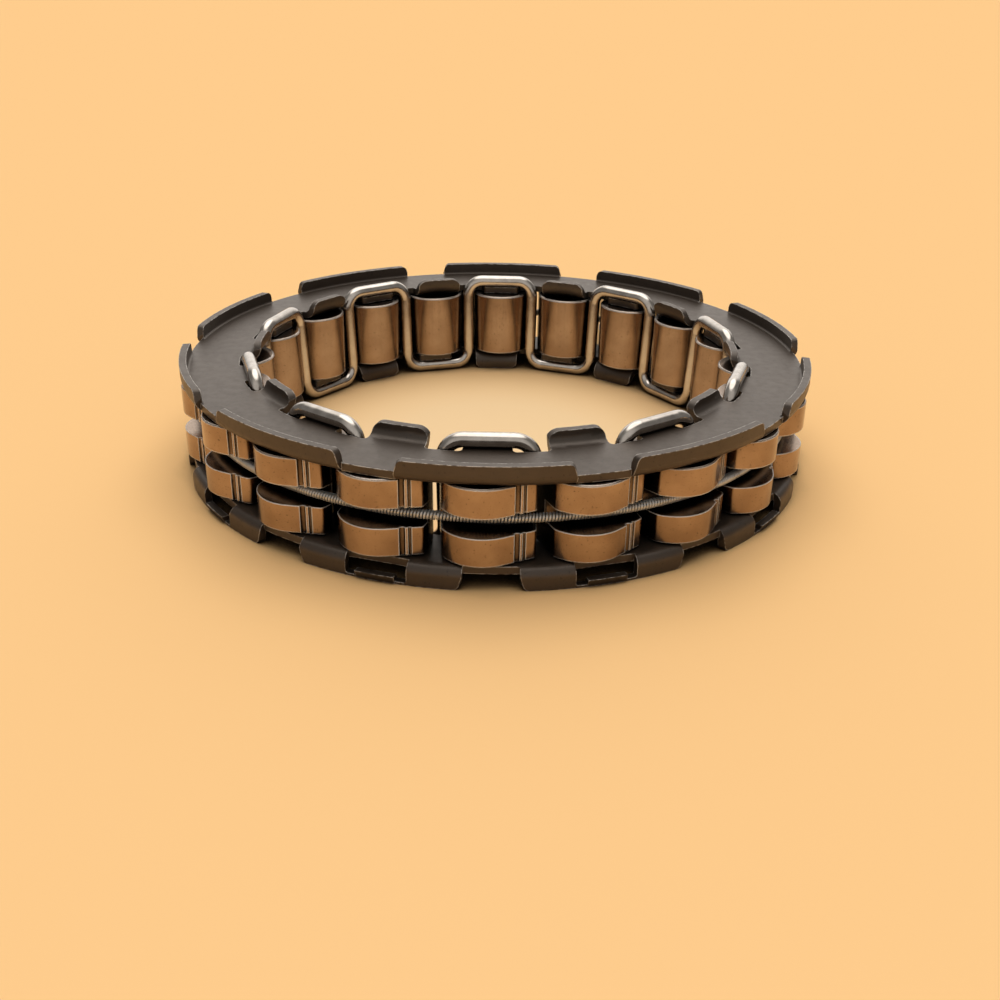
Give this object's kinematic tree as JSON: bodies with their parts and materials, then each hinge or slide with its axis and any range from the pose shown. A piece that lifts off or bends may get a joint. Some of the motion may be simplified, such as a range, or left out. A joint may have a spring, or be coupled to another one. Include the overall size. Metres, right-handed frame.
{
  "type": "sprag clutch",
  "caption": "One-way clutch element: steel sprags held between two pressed side rings, laced together by a serpentine wire and girdled by a garter spring.",
  "frame": {"origin": "on the bore axis, at the middle of the height over the lower tabs and the wire", "axes": "+Z along the bore axis, toward the plain ring and away from the ring with snap tongues; -Y toward sprag_01. Seen from +Z, positive tilt is counter-clockwise"},
  "size_m": [0.0806, 0.08, 0.0144],
  "materials": {
    "pressed_ring": "phosphated, satin",
    "wire": "bright drawn",
    "spring": "bright drawn",
    "sprag": "hardened and polished"
  },
  "bodies": {
    "cage": {"upper_ring": "pressed_ring", "lower_ring": "pressed_ring", "lacing_wire": "wire", "garter_spring": "spring"},
    "sprag_01": {"sprag_01": "sprag"},
    "sprag_02": {"sprag_02": "sprag"},
    "sprag_03": {"sprag_03": "sprag"},
    "sprag_04": {"sprag_04": "sprag"},
    "sprag_05": {"sprag_05": "sprag"},
    "sprag_06": {"sprag_06": "sprag"},
    "sprag_07": {"sprag_07": "sprag"},
    "sprag_08": {"sprag_08": "sprag"},
    "sprag_09": {"sprag_09": "sprag"},
    "sprag_10": {"sprag_10": "sprag"},
    "sprag_11": {"sprag_11": "sprag"},
    "sprag_12": {"sprag_12": "sprag"},
    "sprag_13": {"sprag_13": "sprag"},
    "sprag_14": {"sprag_14": "sprag"},
    "sprag_15": {"sprag_15": "sprag"},
    "sprag_16": {"sprag_16": "sprag"},
    "sprag_17": {"sprag_17": "sprag"},
    "sprag_18": {"sprag_18": "sprag"},
    "sprag_19": {"sprag_19": "sprag"},
    "sprag_20": {"sprag_20": "sprag"}
  },
  "joints": [
    {"name": "sprag_01_tilt", "type": "hinge", "parent": "cage", "child": "sprag_01", "pos_m": [0, -0.0333, 0], "axis": [0, 0, 1], "range_deg": [-3, 11]},
    {"name": "sprag_02_tilt", "type": "hinge", "parent": "cage", "child": "sprag_02", "pos_m": [0.01029, -0.03167, 0], "axis": [0, 0, 1], "range_deg": [-3, 11]},
    {"name": "sprag_03_tilt", "type": "hinge", "parent": "cage", "child": "sprag_03", "pos_m": [0.01957, -0.02694, 0], "axis": [0, 0, 1], "range_deg": [-3, 11]},
    {"name": "sprag_04_tilt", "type": "hinge", "parent": "cage", "child": "sprag_04", "pos_m": [0.02694, -0.01957, 0], "axis": [0, 0, 1], "range_deg": [-3, 11]},
    {"name": "sprag_05_tilt", "type": "hinge", "parent": "cage", "child": "sprag_05", "pos_m": [0.03167, -0.01029, 0], "axis": [0, 0, 1], "range_deg": [-3, 11]},
    {"name": "sprag_06_tilt", "type": "hinge", "parent": "cage", "child": "sprag_06", "pos_m": [0.0333, 0, 0], "axis": [0, 0, 1], "range_deg": [-3, 11]},
    {"name": "sprag_07_tilt", "type": "hinge", "parent": "cage", "child": "sprag_07", "pos_m": [0.03167, 0.01029, 0], "axis": [0, 0, 1], "range_deg": [-3, 11]},
    {"name": "sprag_08_tilt", "type": "hinge", "parent": "cage", "child": "sprag_08", "pos_m": [0.02694, 0.01957, 0], "axis": [0, 0, 1], "range_deg": [-3, 11]},
    {"name": "sprag_09_tilt", "type": "hinge", "parent": "cage", "child": "sprag_09", "pos_m": [0.01957, 0.02694, 0], "axis": [0, 0, 1], "range_deg": [-3, 11]},
    {"name": "sprag_10_tilt", "type": "hinge", "parent": "cage", "child": "sprag_10", "pos_m": [0.01029, 0.03167, 0], "axis": [0, 0, 1], "range_deg": [-3, 11]},
    {"name": "sprag_11_tilt", "type": "hinge", "parent": "cage", "child": "sprag_11", "pos_m": [0, 0.0333, 0], "axis": [0, 0, 1], "range_deg": [-3, 11]},
    {"name": "sprag_12_tilt", "type": "hinge", "parent": "cage", "child": "sprag_12", "pos_m": [-0.01029, 0.03167, 0], "axis": [0, 0, 1], "range_deg": [-3, 11]},
    {"name": "sprag_13_tilt", "type": "hinge", "parent": "cage", "child": "sprag_13", "pos_m": [-0.01957, 0.02694, 0], "axis": [0, 0, 1], "range_deg": [-3, 11]},
    {"name": "sprag_14_tilt", "type": "hinge", "parent": "cage", "child": "sprag_14", "pos_m": [-0.02694, 0.01957, 0], "axis": [0, 0, 1], "range_deg": [-3, 11]},
    {"name": "sprag_15_tilt", "type": "hinge", "parent": "cage", "child": "sprag_15", "pos_m": [-0.03167, 0.01029, 0], "axis": [0, 0, 1], "range_deg": [-3, 11]},
    {"name": "sprag_16_tilt", "type": "hinge", "parent": "cage", "child": "sprag_16", "pos_m": [-0.0333, 0, 0], "axis": [0, 0, 1], "range_deg": [-3, 11]},
    {"name": "sprag_17_tilt", "type": "hinge", "parent": "cage", "child": "sprag_17", "pos_m": [-0.03167, -0.01029, 0], "axis": [0, 0, 1], "range_deg": [-3, 11]},
    {"name": "sprag_18_tilt", "type": "hinge", "parent": "cage", "child": "sprag_18", "pos_m": [-0.02694, -0.01957, 0], "axis": [0, 0, 1], "range_deg": [-3, 11]},
    {"name": "sprag_19_tilt", "type": "hinge", "parent": "cage", "child": "sprag_19", "pos_m": [-0.01957, -0.02694, 0], "axis": [0, 0, 1], "range_deg": [-3, 11]},
    {"name": "sprag_20_tilt", "type": "hinge", "parent": "cage", "child": "sprag_20", "pos_m": [-0.01029, -0.03167, 0], "axis": [0, 0, 1], "range_deg": [-3, 11]}
  ],
  "couplings": [
    {"joint": "sprag_02_tilt", "follows": "sprag_01_tilt", "ratio": 1},
    {"joint": "sprag_03_tilt", "follows": "sprag_01_tilt", "ratio": 1},
    {"joint": "sprag_04_tilt", "follows": "sprag_01_tilt", "ratio": 1},
    {"joint": "sprag_05_tilt", "follows": "sprag_01_tilt", "ratio": 1},
    {"joint": "sprag_06_tilt", "follows": "sprag_01_tilt", "ratio": 1},
    {"joint": "sprag_07_tilt", "follows": "sprag_01_tilt", "ratio": 1},
    {"joint": "sprag_08_tilt", "follows": "sprag_01_tilt", "ratio": 1},
    {"joint": "sprag_09_tilt", "follows": "sprag_01_tilt", "ratio": 1},
    {"joint": "sprag_10_tilt", "follows": "sprag_01_tilt", "ratio": 1},
    {"joint": "sprag_11_tilt", "follows": "sprag_01_tilt", "ratio": 1},
    {"joint": "sprag_12_tilt", "follows": "sprag_01_tilt", "ratio": 1},
    {"joint": "sprag_13_tilt", "follows": "sprag_01_tilt", "ratio": 1},
    {"joint": "sprag_14_tilt", "follows": "sprag_01_tilt", "ratio": 1},
    {"joint": "sprag_15_tilt", "follows": "sprag_01_tilt", "ratio": 1},
    {"joint": "sprag_16_tilt", "follows": "sprag_01_tilt", "ratio": 1},
    {"joint": "sprag_17_tilt", "follows": "sprag_01_tilt", "ratio": 1},
    {"joint": "sprag_18_tilt", "follows": "sprag_01_tilt", "ratio": 1},
    {"joint": "sprag_19_tilt", "follows": "sprag_01_tilt", "ratio": 1},
    {"joint": "sprag_20_tilt", "follows": "sprag_01_tilt", "ratio": 1}
  ]
}
